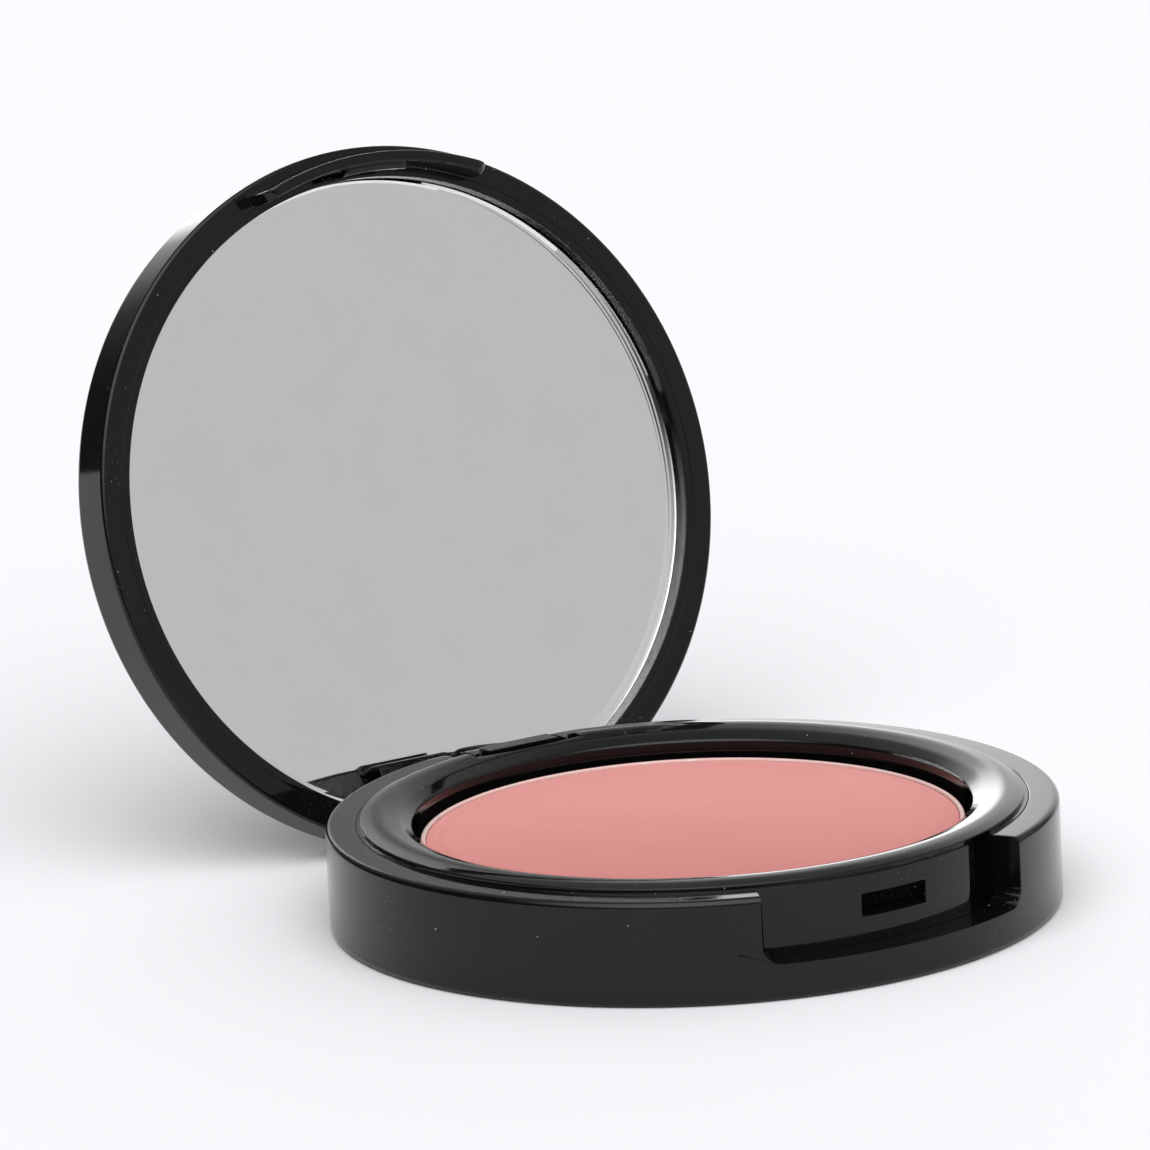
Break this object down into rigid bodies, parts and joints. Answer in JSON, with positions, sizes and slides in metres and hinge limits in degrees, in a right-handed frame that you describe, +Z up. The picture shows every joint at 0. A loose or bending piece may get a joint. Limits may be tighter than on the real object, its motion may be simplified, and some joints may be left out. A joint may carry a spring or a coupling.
{
  "type": "powder compact",
  "caption": "Round black powder compact with pressed blush in a metal pan and a hinged lid that holds a bevelled mirror.",
  "frame": {"origin": "centre of the base's underside", "axes": "+Z up out of the powder, +Y from the latch towards the hinge, +X along the hinge line"},
  "size_m": [0.0596, 0.0822, 0.0569],
  "materials": {
    "black_plastic": "high gloss",
    "pan_metal": "satin",
    "powder": "matte pressed powder",
    "pin_metal": "drawn",
    "film": "adhesive film",
    "mirror_glass": "polished, bevelled edge"
  },
  "bodies": {
    "base": {"base_shell": "black_plastic", "pan_frame": "black_plastic", "pan_adhesive": "film", "pan": "pan_metal", "powder_cake": "powder", "hinge_pin": "pin_metal"},
    "lid": {"lid_shell": "black_plastic", "mirror_frame": "black_plastic", "mirror_adhesive": "film", "mirror": "mirror_glass"}
  },
  "joints": [
    {"name": "lid_hinge", "type": "hinge", "parent": "base", "child": "lid", "pos_m": [0, 0.0276, 0.00295], "axis": [1, 0, 0], "range_deg": [0, 105]}
  ]
}
